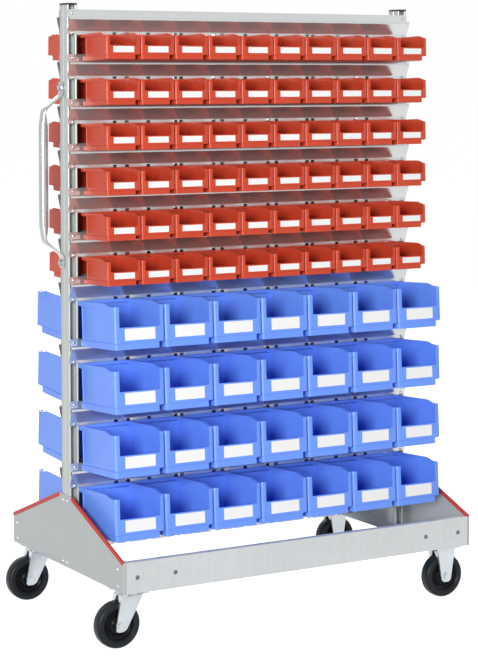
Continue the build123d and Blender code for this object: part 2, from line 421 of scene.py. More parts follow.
def bevelled(bm, geom, radius, segments=3, **options):
    """Rounds edges, or the corners of a flat face."""
    settings = {"affect": "EDGES", "profile": 0.5, "material": -1} | options
    bmesh.ops.bevel(bm, geom=geom, offset=radius, segments=segments, **settings)


def outline_face(bm, outline, axis, along, rounded=(), radius=0.0, segments=3):
    """A flat face across an axis, alone in its bmesh, with some of its corners rounded."""
    verts = [bm.verts.new(across(axis, a, b, along)) for a, b in outline]
    bm.faces.new(verts)
    if rounded:
        bevelled(bm, [verts[i] for i in rounded], radius, segments, affect="VERTICES")
    return max(bm.faces, key=lambda face: face.calc_area())


def prism(bm, outline, axis, start, end, rounded=(), radius=0.0, segments=3):
    """A solid of constant section along an axis."""
    part = bmesh.new()
    face = outline_face(part, outline, axis, start, rounded, radius, segments)
    made = bmesh.ops.extrude_face_region(part, geom=[face])["geom"]
    shift = Vector(across(axis, 0, 0, end - start))
    bmesh.ops.translate(part, verts=only(bmesh.types.BMVert, made), vec=shift)
    bmesh.ops.recalc_face_normals(part, faces=part.faces)
    return joined(bm, part)


def faces_where(bm, test):
    """The faces whose middle and normal pass a test."""
    return [face for face in bm.faces if test(face.calc_center_median(), face.normal)]


def folds(bm, angle):
    """The edges between two faces that meet at more than an angle."""
    return [e for e in bm.edges if len(e.link_faces) == 2 and e.calc_face_angle() > radians(angle)]


def soft_prism(bm, width, *section):
    """A prism with its sharp edges rounded."""
    part = bmesh.new()
    prism(part, *section)
    bevelled(part, folds(part, 40), width, 2, clamp_overlap=True)
    joined(bm, part)


def grown(bm, edges, place):
    """Extrudes a line of edges and puts each new vertex where place says."""
    made = bmesh.ops.extrude_edge_only(bm, edges=edges)["geom"]
    verts = set(only(bmesh.types.BMVert, made))
    for vert in verts:
        vert.co = place(vert.co)
    return [edge for edge in only(bmesh.types.BMEdge, made) if set(edge.verts) <= verts]


def folded_sheet(line, columns, thickness, fold, outwards, gone):
    """A folded sheet: a line of (y, z) points drawn out along X, without the faces that are gone.

    Its folds are rounded, and its thickness lies behind it.
    """
    bm = bmesh.new()
    verts = [bm.verts.new((columns[0], y, z)) for y, z in line]
    edges = [bm.edges.new(pair) for pair in zip(verts, verts[1:])]
    for end in columns[1:]:
        edges = grown(bm, edges, lambda co: Vector((end, co.y, co.z)))
    bmesh.ops.delete(bm, geom=faces_where(bm, gone), context="FACES")
    bmesh.ops.dissolve_limit(
        bm, angle_limit=radians(1), use_dissolve_boundaries=False, verts=bm.verts, edges=bm.edges
    )
    bm.normal_update()
    bevelled(bm, folds(bm, 5), fold)
    bm.normal_update()
    total = sum((face.normal * face.calc_area() for face in bm.faces), Vector())
    if total.dot(outwards) < 0:
        bmesh.ops.reverse_faces(bm, faces=bm.faces)
    bmesh.ops.solidify(bm, geom=bm.faces[:], thickness=thickness)
    return bm


def turned_ring(bm, profile, steps, place=Matrix.Identity(4)):
    """A closed profile of (radius, y) points, spun about the Y axis of a place."""
    part = bmesh.new()
    verts = [part.verts.new((radius, y, 0)) for radius, y in profile]
    edges = [part.edges.new(pair) for pair in zip(verts, verts[1:] + verts[:1])]
    bmesh.ops.spin(
        part, geom=verts + edges, cent=(0, 0, 0), axis=(0, 1, 0), angle=2 * pi, steps=steps, use_merge=True
    )
    bmesh.ops.remove_doubles(part, verts=part.verts, dist=0.001)
    bmesh.ops.recalc_face_normals(part, faces=part.faces)
    joined(bm, part, place)


def put_right(bm, verts, faces):
    """Mirrors geometry to the other end of the rack."""
    bmesh.ops.scale(bm, vec=(-1, 1, 1), verts=verts)
    bmesh.ops.reverse_faces(bm, faces=faces)


def ring(bm, segments, radius, place):
    """The edges of a circle at a place."""
    made = bmesh.ops.create_circle(bm, cap_ends=False, segments=segments, radius=radius, matrix=place)
    return {edge for vert in made["verts"] for edge in vert.link_edges}


def skinned(bm, rings):
    """A closed skin over rings of edges."""
    for first, second in zip(rings, rings[1:]):
        bmesh.ops.bridge_loops(bm, edges=list(first | second))
    for end in (rings[0], rings[-1]):
        bmesh.ops.edgeloop_fill(bm, edges=list(end))
    bmesh.ops.recalc_face_normals(bm, faces=bm.faces)


def piece(bm, name, body, material, nodes=(), sharp=32.0):
    """Ends a piece: its mesh in metres, its material, its body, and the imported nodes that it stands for."""
    bmesh.ops.scale(bm, vec=(MM,) * 3, verts=bm.verts)
    bmesh.ops.dissolve_degenerate(bm, dist=1e-7, edges=bm.edges)
    mesh = as_mesh(bm, name)
    mesh.shade_smooth()
    mesh.set_sharp_from_angle(angle=radians(sharp))
    mesh.materials.append(finish(material))
    made = bpy.data.objects.new(name, mesh)
    bpy.context.scene.collection.objects.link(made)
    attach(made, body)
    if nodes:
        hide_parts(*nodes)


def ledges(size):
    """Heights of the rails' ledges, from the top down."""
    heights = [RAIL_TOP - size.rail_strip]
    for pitch in [size.small_rows] * SMALL_ROWS + [size.large_rows] * LARGE_ROWS:
        heights.append(heights[-1] - pitch)
    return heights


def cone(bm, low, high, depth, place, segments=16):
    """A capped cone or cylinder about the Z axis of a place."""
    bmesh.ops.create_cone(
        bm, cap_ends=True, segments=segments, radius1=low, radius2=high, depth=depth, matrix=place
    )


def hex_bolt(width, height, washer=1.2):
    """A hexagon head on a washer, standing on z = 0."""
    bm = bmesh.new()
    head = height - washer
    low = Matrix.Translation((0, 0, washer / 2))
    high = Matrix.Translation((0, 0, washer + head / 2))
    cone(bm, width * WASHER_FOOT, width * WASHER_TOP, washer, low)
    cone(bm, width * HEX_FOOT, width * HEX_TOP, head, high, segments=6)
    return bm


def dome_screw(diameter, height):
    """A low domed head with a socket, standing on z = 0."""
    bm = bmesh.new()
    profile = ((1.0, 0.0), (0.96, 0.35), (0.8, 0.75), (0.5, 1.0), (0.42, 0.4))
    rings = []
    for wide, up in profile:
        rings.append(ring(bm, 10, diameter / 2 * wide, Matrix.Translation((0, 0, up * height))))
    skinned(bm, rings)
    return bm


def upright_on(point, normal):
    """A place whose Z axis is a surface's normal."""
    turn = Vector(normal).to_track_quat("Z", "Y").to_matrix().to_4x4()
    return Matrix.Translation(point) @ turn


class RACK_OT_materials(bpy.types.Operator):
    """Make the rack's plastics, zinc, rubber and card"""

    bl_idname = "rack.materials"
    bl_label = "Materials"
    # Colour, roughness and gloss.
    plastics = {
        "moulded_red_plastic": ("red_bin", 0.34, 0.4),
        "moulded_blue_plastic": ("blue_bin", 0.34, 0.6),
        "red_edge_trim": ("trim", 0.42, 0.35),
        "black_cap_plastic": ("cap", 0.4, 0.35),
        "black_hub_plastic": ("hub", 0.26, 0.12),
    }
    # Colour, roughness, density of the streaks along each axis, contrast, metal and spangle.
    zincs = {
        "galvanised_base_sheet": ("sheet", 0.26, (140, 140, 4), 0.12, 0.4, 0.2),
        # The base ends take the panels' zinc made darker, as painted shade.
        "galvanised_end_sheet": ("end_sheet", 0.3, (140, 140, 4), 0.12, 0.3, 0.2),
        "galvanised_rail_sheet": ("rail", 0.17, (3, 90, 90), 0.08, 0.72),
        "rolled_post_zinc": ("profile", 0.28, (160, 160, 3), 0.12, 0.12),
        "bright_zinc_plate": ("plate", 0.24, (40, 40, 12), 0.1, 0.7),
        "zinc_screw_heads": ("screw", 0.16, (90, 90, 90), 0.1, 0.85),
        # The panel bolts' darker zinc is painted shade for their dark reflections and shaded sockets.
        "dark_bolt_zinc": ("panel_bolt", 0.34, (90, 90, 90), 0.1, 0.5),
        "zinc_handle_tube": ("tube", 0.16, (120, 120, 8), 0.06, 0.75),
    }

    def execute(self, context):
        tones = context.scene.rack_colours
        for make, table in ((moulded_plastic, self.plastics), (galvanised, self.zincs)):
            for name, (tone, *settings) in table.items():
                make(name, getattr(tones, tone), *settings)
        paper("label_card", tones.card)
        rubber("black_tyre_rubber", tones.tyre)
        return {"FINISHED"}


class RACK_OT_base(bpy.types.Operator):
    """Build the base ends, the long base panels and the edge trims"""

    bl_idname = "rack.base"
    bl_label = "Base"
    corner_gap = 4.0
    corner_return = 7.0
    tab_reach = 52.0
    tab_height = 66.0
    tab_round = 6.0
    peak_half = 37.0
    bolt_head = 1.4
    trim_cover = 2.0
    trim_round = 1.6

    def execute(self, context):
        size = in_millimetres(context.scene.rack_sizes)
        for end in ("left", "right"):
            bm = self.base_end(size)
            if end == "right":
                put_right(bm, bm.verts, bm.faces)
            name = f"{end}_end_plate"
            piece(bm, name, "rack", "galvanised_end_sheet", [f"{end}_base_end"])
        for side, turn in SIDES.items():
            bm = self.panel(size)
            bmesh.ops.transform(bm, matrix=turn, verts=bm.verts)
            name = f"{side}_panel_sheet"
            piece(bm, name, "rack", "galvanised_base_sheet", [f"{side}_base_panel"])
        bm = bmesh.new()
        for side, turn in SIDES.items():
            for end in ("left", "right"):
                verts = self.trim(bm, size)
                bmesh.ops.transform(bm, matrix=turn, verts=verts)
                if end == "right":
                    put_right(bm, verts, list({face for vert in verts for face in vert.link_faces}))
        piece(bm, "slope_trims", "rack", "red_edge_trim", ["edge_trims"])
        return {"FINISHED"}

    def base_end(self, size):
        """Gabled plate, tray floor and tray walls as one folded sheet."""
        bm = bmesh.new()
        side = -PANEL_FACE
        inner = side - size.base_sheet - self.bolt_head
        half = [(inner, BASE_UNDERSIDE), (side, BASE_UNDERSIDE)]
        half += [(side, PANEL_TOP), (self.peak_half, BASE_PEAK)]
        gable = half + flipped(half, -1, 1)
        plate = [bm.verts.new((BASE_END, y, z)) for y, z in gable]
        bm.faces.new(plate)
        wall_ends = (BASE_END + size.base_sheet + self.corner_gap, TRAY_EDGE)
        rear = [bm.verts.new((x, inner, BASE_UNDERSIDE)) for x in wall_ends]
        front = [bm.verts.new((x, -inner, BASE_UNDERSIDE)) for x in wall_ends]
        bm.faces.new((plate[-1], plate[0], rear[0], rear[1], front[1], front[0]))
        edges = [bm.edges.get((plate[-1], plate[0]))]
        for i in (1, 5):
            corner = bm.edges.get(plate[i : i + 2])
            grown(bm, [corner], lambda co: co + Vector((self.corner_return, 0, 0)))
            edges.append(corner)
        for foot in (front, rear):
            fold = bm.edges.get(foot)
            grown(bm, [fold], lambda co: co + Vector((0, 0, size.tray_wall)))
            edges.append(fold)
        bmesh.ops.recalc_face_normals(bm, faces=bm.faces)
        bevelled(bm, edges, size.base_fold)
        bm.normal_update()
        outside = min(bm.faces, key=lambda face: face.calc_center_median().x)
        if outside.normal.x > 0:
            bmesh.ops.reverse_faces(bm, faces=bm.faces)
        bmesh.ops.solidify(bm, geom=bm.faces[:], thickness=size.base_sheet)
        return bm

    def panel(self, size):
        """Long panel with its lip, and a tab turned in at each end."""
        lip_end = PANEL_END - self.corner_gap
        face = PANEL_FACE + self.bolt_head
        line = [(face, BASE_UNDERSIDE), (face, PANEL_TOP), (PANEL_FACE + size.lip, PANEL_TOP)]
        bm = folded_sheet(
            line,
            [-PANEL_END, -lip_end, lip_end, PANEL_END],
            size.base_sheet,
            size.base_fold,
            Vector((0, -1, 1)),
            lambda centre, normal: abs(centre.x) > lip_end and centre.y > face + 1,
        )
        foot = BASE_UNDERSIDE + size.base_sheet
        tab = rectangle(face + size.base_sheet, foot, PANEL_FACE + self.tab_reach, foot + self.tab_height)
        for end in (-1, 1):
            inside = end * (PANEL_END - size.base_sheet)
            prism(bm, tab, "X", end * PANEL_END, inside, (1, 2), self.tab_round)
        return bm

    def trim(self, bm, size):
        """U-shaped trim on the front slope of the left end."""
        run = -PANEL_FACE - self.peak_half
        rise = BASE_PEAK - PANEL_TOP
        half = hypot(run, rise) / 2 - self.corner_gap
        cover = self.trim_cover
        depth = cover - size.trim_height
        wide = size.trim_thickness / 2
        slot = size.base_sheet / 2
        section = [(-wide, depth), (-wide, cover), (wide, cover), (wide, depth)]
        section += [(slot, depth), (slot, 0), (-slot, 0), (-slot, depth)]
        verts = prism(bm, section, "Y", -half, half, (1, 2), self.trim_round)
        middle = Vector((BASE_END + slot, (PANEL_FACE - self.peak_half) / 2, (PANEL_TOP + BASE_PEAK) / 2))
        place = Matrix.Translation(middle) @ Matrix.Rotation(atan2(rise, run), 4, "X")
        bmesh.ops.transform(bm, matrix=place, verts=verts)
        return verts


class RACK_OT_posts(bpy.types.Operator):
    """Build the two rolled posts and their caps"""

    bl_idname = "rack.posts"
    bl_label = "Posts"
    lip = 4.5
    groove = 1.8
    web = 2.0
    corner_share = 0.8
    cap_over = 0.75
    cap_round = 1.5

    def execute(self, context):
        size = in_millimetres(context.scene.rack_sizes)
        for end, sign in (("left", 1), ("right", -1)):
            bm = bmesh.new()
            self.post(bm, size, sign)
            piece(bm, f"{end}_rolled_post", "rack", "rolled_post_zinc", [f"{end}_post"])
        bm = bmesh.new()
        for sign in (1, -1):
            self.cap(bm, size, sign)
        piece(bm, "moulded_caps", "rack", "black_cap_plastic", ["post_caps"])
        return {"FINISHED"}

    def post(self, bm, size, sign):
        """Two channels back to back, each with lips turned in at its mouth and a groove outside."""
        half = POST_HALF
        face = -POST_FACE
        mouth = size.post_mouth / 2
        wall = size.post_wall
        quarter = [(mouth, -face + self.lip), (mouth, -face), (half, -face)]
        quarter += [(half, -self.groove), (half - self.groove, 0)]
        right = quarter + flipped(quarter[:4], 1, -1)
        inside = [(mouth + wall, face - self.lip), (mouth + wall, face - wall)]
        inside += [(half - wall, face - wall), (half - wall, self.web)]
        sides = right + inside + flipped(inside, -1, 1)
        outline = [(POST_MIDDLE * sign + x * turn, y * turn) for turn in (1, -1) for x, y in sides]
        corners = [1, 2, len(right) - 3, len(right) - 2]
        corners += [len(sides) + i for i in corners]
        prism(bm, outline, "Z", POST_FOOT, POST_TOP, corners, size.post_corner * self.corner_share)

    def cap(self, bm, size, sign):
        """Flat cap with rounded edges."""
        middle = POST_MIDDLE * sign
        half = POST_HALF + self.cap_over
        face = -POST_FACE + self.cap_over
        square = rectangle(middle - half, -face, middle + half, face)
        part = bmesh.new()
        prism(part, square, "Z", POST_TOP, CAP_TOP, range(4), size.post_corner)
        top = [e for e in part.edges if all(abs(v.co.z - CAP_TOP) < TOLERANCE for v in e.verts)]
        bevelled(part, top, self.cap_round)
        joined(bm, part)


class RACK_OT_rails(bpy.types.Operator):
    """Build the folded rails with the notches in their skirts"""

    bl_idname = "rack.rails"
    bl_label = "Rails"
    notch_width = 12.0
    notch_height = 7.0

    def execute(self, context):
        size = in_millimetres(context.scene.rack_sizes)
        small = context.scene.small_bin.pitch / MM
        large = context.scene.large_bin.pitch / MM
        mesh = as_mesh(self.rail(size, small, large), "rail_sheet")
        for side, turn in SIDES.items():
            bm = bmesh.new()
            for ledge in ledges(size):
                stamped(bm, mesh, turn @ Matrix.Translation((0, 0, ledge)))
            name = f"{side}_folded_rails"
            nodes = [f"{side}_rails"]
            piece(bm, name, "rack", "galvanised_rail_sheet", nodes, sharp=25)
        return {"FINISHED"}

    def rail(self, size, small, large):
        """Strip, ledge, nose, sloped face and notched skirt, with the ledge at z = 0."""
        face = POST_FACE - size.rail_sheet
        slope_bottom = -size.rail_nose - size.rail_slope
        skirt_bottom = slope_bottom - size.rail_skirt
        notch_top = skirt_bottom + self.notch_height
        line = [(face, size.rail_strip), (face, 0), (RAIL_NOSE, 0), (RAIL_NOSE, -size.rail_nose)]
        line += [(face, slope_bottom), (face, notch_top), (face, skirt_bottom)]
        rows = ((SMALL_PER_ROW, small), (LARGE_PER_ROW, large))
        centres = [(i - count / 2) * pitch for count, pitch in rows for i in range(1, count)]
        half = self.notch_width / 2
        columns = {-RAIL_END, RAIL_END}
        for centre in centres:
            columns |= {centre - half, centre + half}

        def in_notch(point, normal):
            return point.z < notch_top and any(abs(point.x - centre) < half for centre in centres)

        outwards = Vector((0, -1, 0))
        return folded_sheet(line, sorted(columns), size.rail_sheet, size.rail_fold, outwards, in_notch)


class RACK_OT_handle(bpy.types.Operator):
    """Build the push handle from a bent tube with flattened ends"""

    bl_idname = "rack.handle"
    bl_label = "Push handle"
    tab_length = 34.0
    tab_thickness = 4.0
    tab_width = 33.0
    elbow_drop = 75.5
    elbow_rise = 74.5
    bend = 11.0
    elbow_thickness = 11.0
    pressed_grip = 48.0
    press = 2.6
    spread = 3.0
    foot_bend = 9.0
    long_run = 120.0
    short_run = 30.0
    behind_middle = 12.5
    tube_sides = 20
    foot_steps = 4
    elbow_steps = 7
    press_steps = 3
    arm_steps = 5

    def execute(self, context):
        size = in_millimetres(context.scene.rack_sizes)
        bm = bmesh.new()
        rings = []
        for point, along, wide, thick in self.stations(size):
            turn = Matrix((along, Vector((0, 1, 0)), along.cross(Vector((0, 1, 0))))).transposed()
            place = Matrix.Translation(point) @ turn.to_4x4() @ Matrix.Rotation(pi / 2, 4, "Y")
            place = place @ Matrix.Diagonal((thick / 2, wide / 2, 1, 1))
            rings.append(ring(bm, self.tube_sides, 1, place))
        skinned(bm, rings)
        piece(bm, "bent_tube_handle", "rack", "zinc_handle_tube", ["push_handle"], sharp=40)
        return {"FINISHED"}

    def stations(self, size):
        """Places along the handle with its direction, width and thickness there."""
        radius = size.handle_tube / 2
        grip = GRIP_OUTSIDE + radius
        tab = POST_OUTSIDE - self.tab_thickness / 2
        top = Vector((tab, self.behind_middle, HANDLE_TOP))
        top_foot = top - Vector((0, 0, self.tab_length))
        top_elbow = Vector((grip, self.behind_middle, HANDLE_TOP - self.elbow_drop))
        low = Vector((tab, self.behind_middle, HANDLE_BOTTOM))
        low_foot = low + Vector((0, 0, self.tab_length))
        low_elbow = Vector((grip, self.behind_middle, HANDLE_BOTTOM + self.elbow_rise))
        corners = [top, top_foot, top_elbow, low_elbow, low_foot, low]
        line = [top]
        foot_bend = (self.foot_bend, self.foot_steps)
        elbow_bend = (self.bend, self.elbow_steps)
        bends = (foot_bend, elbow_bend, elbow_bend, foot_bend)
        for i, (bend, steps) in enumerate(bends, 1):
            corner = corners[i]
            back = corner + (corners[i - 1] - corner).normalized() * bend
            ahead = corner + (corners[i + 1] - corner).normalized() * bend
            for k in range(steps):
                t = k / (steps - 1)
                line.append(back * (1 - t) ** 2 + corner * 2 * t * (1 - t) + ahead * t**2)
        line.append(low)
        dense = [top]
        for start, end in zip(line, line[1:]):
            run = (end - start).length
            if run > self.long_run:
                near = self.pressed_grip / run
                spots = [near * (k + 1) / self.press_steps for k in range(self.press_steps)]
                spots += [1 - spot for spot in reversed(spots)] + [1]
            else:
                parts = self.arm_steps if run > self.short_run else 1
                spots = [(k + 1) / parts for k in range(parts)]
            dense += [start.lerp(end, spot) for spot in spots]
        tube = size.handle_tube
        arm = (top_foot - top_elbow).length
        for i, point in enumerate(dense):
            along = (dense[min(i + 1, len(dense) - 1)] - dense[max(i - 1, 0)]).normalized()
            elbow = min((top_elbow, low_elbow), key=lambda e: (e - point).length)
            away = (point - elbow).length
            if low_elbow.z < point.z < top_elbow.z:
                t = eased(max(0, 1 - away / self.pressed_grip))
                wide = tube + self.spread * t
                thick = tube + (self.elbow_thickness - tube) * t
            else:
                t = 1 - max(0, 1 - away / arm) ** self.press
                wide = tube + self.spread + (self.tab_width - tube - self.spread) * t
                thick = self.elbow_thickness + (self.tab_thickness - self.elbow_thickness) * t
            yield point, along, wide, thick


class RACK_OT_bins(bpy.types.Operator):
    """Build the small and the large bins with their label cards"""

    bl_idname = "rack.bins"
    bl_label = "Bins and cards"
    tilts = {"red": 2.0, "blue": 3.4}
    seat_inset = 2.0
    seat_gap = 0.3
    under_skirt = 1.2
    card_thickness = 0.7
    card_round = 1.2
    panel_edge = 0.8
    drop_steps = 4
    rim_step = 2.0
    lip_round = 0.9
    near = 0.5
    # How far a face's normal points along an axis.
    sideways = 0.95
    lying = 0.9
    standing = 0.35

    def execute(self, context):
        scene = context.scene
        size = in_millimetres(scene.rack_sizes)
        heights = ledges(size)
        small = in_millimetres(scene.small_bin)
        large = in_millimetres(scene.large_bin)
        self.rows("red", small, SMALL_PER_ROW, heights[1 : 1 + SMALL_ROWS], size)
        self.rows("blue", large, LARGE_PER_ROW, heights[1 + SMALL_ROWS :], size)
        return {"FINISHED"}

    def rows(self, tone, size, count, heights, rack):
        """All bins and cards of one kind: one loose bin in each row, the others in one piece."""
        tilt = radians(self.tilts[tone])
        shell = as_mesh(self.bin_shell(size, rack, tilt), f"{tone}_bin_shell")
        card = as_mesh(self.card(size), f"{tone}_bin_card")
        plastic = f"moulded_{tone}_plastic"
        seat = RAIL_NOSE + self.seat_inset
        lean = Matrix.Rotation(-tilt, 4, "X")
        for side, turn in SIDES.items():
            bins, cards = bmesh.new(), bmesh.new()
            for row, ledge in enumerate(heights, 1):
                for i in range(count):
                    x = (i - (count - 1) / 2) * size.pitch
                    spot = turn @ Matrix.Translation((x, seat, ledge + self.seat_gap)) @ lean
                    loose = i == count // 2
                    pair = (bmesh.new(), bmesh.new()) if loose else (bins, cards)
                    for bm, mesh in zip(pair, (shell, card)):
                        stamped(bm, mesh, spot)
                    if loose:
                        node = f"{side}_{tone}_bin_{row}"
                        piece(pair[0], f"{node}_shell", node, plastic, [node])
                        piece(pair[1], f"{node}_card", node, "label_card")
            node = f"{side}_{tone}_bins"
            piece(bins, f"{node}_shells", "rack", plastic, [node])
            piece(cards, f"{node}_cards", "rack", "label_card")

    def bin_shell(self, size, rack, tilt):
        """One bin: rear bottom edge on the X axis, front towards -Y, panelled outside."""
        bm = bmesh.new()
        half = size.width / 2 - size.set_back
        front = size.set_back - size.depth
        mouth = size.width / 2 - size.pillar
        face = POST_FACE - rack.rail_sheet
        room = face - RAIL_NOSE - self.seat_inset + self.under_skirt
        reach = (room - size.height * sin(tilt)) / cos(tilt)
        start = size.drop_start - size.depth
        end = size.drop_end - size.depth

        def top(y):
            t = min(1, max(0, (start - y) / (start - end)))
            return size.height - size.drop * eased(t)

        steps = [start + (end - start) * k / self.drop_steps for k in range(self.drop_steps + 1)]
        steps = [y for y in steps if y > front + size.corner + 1]
        side = [(half, 0)] + [(half, y) for y in steps] + [(half, front)]
        outline = side + [(mouth, front), (-mouth, front)] + flipped(side, -1, 1)
        corner = len(side) - 1
        outline_face(bm, outline, "Z", 0, (corner, corner + 3), size.corner)
        wider = size.width / 2 / half
        deeper = size.depth / (size.depth - size.set_back)
        foot = size.plinth + size.set_back
        back = -size.recess

        def behind(co, limit, y):
            return y if co.y > limit - self.near else co.y

        levels = (
            lambda co: Vector((co.x, co.y, size.plinth)),
            lambda co: Vector((co.x * wider, behind(co, 0, back / deeper) * deeper, foot)),
            lambda co: Vector((co.x, co.y, size.sill)),
            lambda co: Vector((co.x, co.y, top(co.y) - size.rim)),
            lambda co: Vector((co.x, behind(co, back, reach), top(co.y) - size.rim + self.rim_step)),
            lambda co: Vector((co.x, co.y, top(co.y))),
        )
        edges = bm.edges[:]
        for level in levels:
            edges = grown(bm, edges, level)
        self.notch(bm, size, half, front)

        def in_mouth(centre, normal):
            return centre.z > size.sill and abs(centre.x) < mouth and centre.y < 1 - size.depth

        def on_side(centre, normal):
            outer = normal.x * centre.x > 0 and abs(centre.x) > size.width / 2 - self.near
            high = foot < centre.z < top(centre.y) - size.rim
            return outer and high and abs(normal.x) > self.sideways

        bmesh.ops.delete(bm, geom=faces_where(bm, in_mouth), context="FACES")
        bmesh.ops.recalc_face_normals(bm, faces=bm.faces)
        bmesh.ops.solidify(bm, geom=bm.faces[:], thickness=size.wall)
        bm.normal_update()
        panels = faces_where(bm, on_side)
        bmesh.ops.inset_region(
            bm, faces=panels, thickness=self.panel_edge, depth=-size.panel_inset, use_even_offset=True
        )
        bm.normal_update()
        middle = Vector((0, -size.depth / 2, 0))
        lips = []
        for edge in bm.edges:
            flat = [part for part in edge.link_faces if part.normal.z > self.lying]
            wall = [part for part in edge.link_faces if abs(part.normal.z) < self.standing]
            if len(flat) == len(wall) == 1 and edge.verts[0].co.z > size.sill - 1:
                if wall[0].normal.dot(wall[0].calc_center_median() - middle) > 0:
                    lips.append(edge)
        bevelled(bm, lips, self.lip_round, 2)
        return bm

    def notch(self, bm, size, half, front):
        """Pushes the foot's right front corner in to a square notch."""
        rear = front + size.notch_depth
        for level in (0, size.plinth):
            loop = [v for v in bm.verts if abs(v.co.z - level) < TOLERANCE]
            edge = [v for v in loop if v.co.x > 0 and v.co.y < rear]
            edge.sort(key=lambda vert: (round(vert.co.y, 2), vert.co.x))
            beside = edge.pop(0)
            beside.co.x = min(beside.co.x, half - size.notch_width - 1)
            turn = len(edge) // 2
            last = len(edge) - 1 - turn
            for i, vert in enumerate(edge):
                vert.co.x = half - size.notch_width * (1 - max(0, i - turn) / last)
                vert.co.y = front + size.notch_depth * min(1, i / turn)

    def card(self, size):
        """Label card on the low front, with rounded corners."""
        bm = bmesh.new()
        half = size.card_width / 2
        low = size.card_centre - size.card_height / 2
        outline = rectangle(-half, low, half, low + size.card_height)
        face = -size.depth
        prism(bm, outline, "Y", face, face - self.card_thickness, range(4), self.card_round, 2)
        return bm


